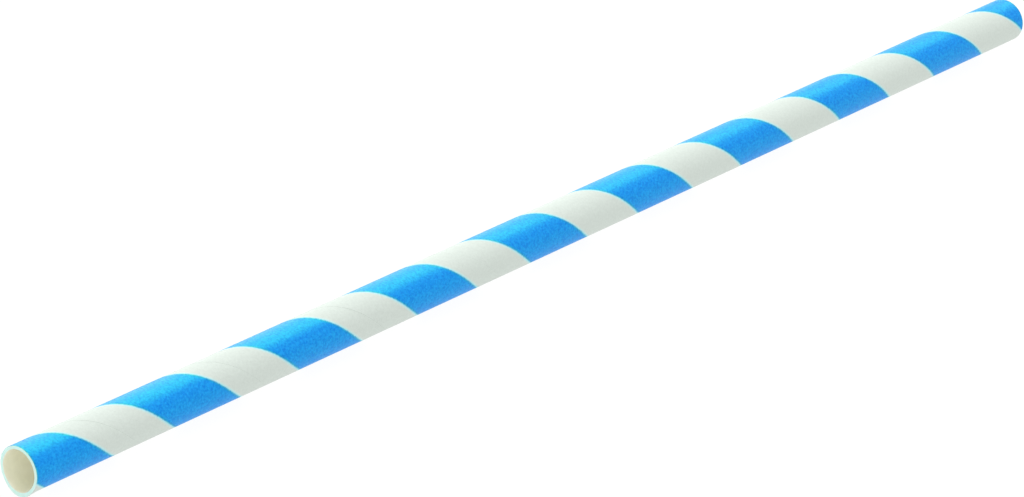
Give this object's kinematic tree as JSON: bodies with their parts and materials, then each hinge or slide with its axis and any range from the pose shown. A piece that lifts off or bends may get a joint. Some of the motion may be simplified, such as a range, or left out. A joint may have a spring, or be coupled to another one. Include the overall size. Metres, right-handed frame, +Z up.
{
  "type": "paper drinking straw",
  "caption": "Straight spiral-wound paper drinking straw with square cut ends and a blue and white helical stripe.",
  "frame": {"origin": "middle of the straw's underside, on the surface that it lies on", "axes": "+X along the straw, away from the end that the picture shows open; +Z up"},
  "size_m": [0.2, 0.0064, 0.0063],
  "materials": {
    "striped_paper": "smooth calendered paper, white with a wide bright blue helical stripe, cream inside"
  },
  "bodies": {
    "root": {"straw_tube": "striped_paper"}
  },
  "joints": []
}
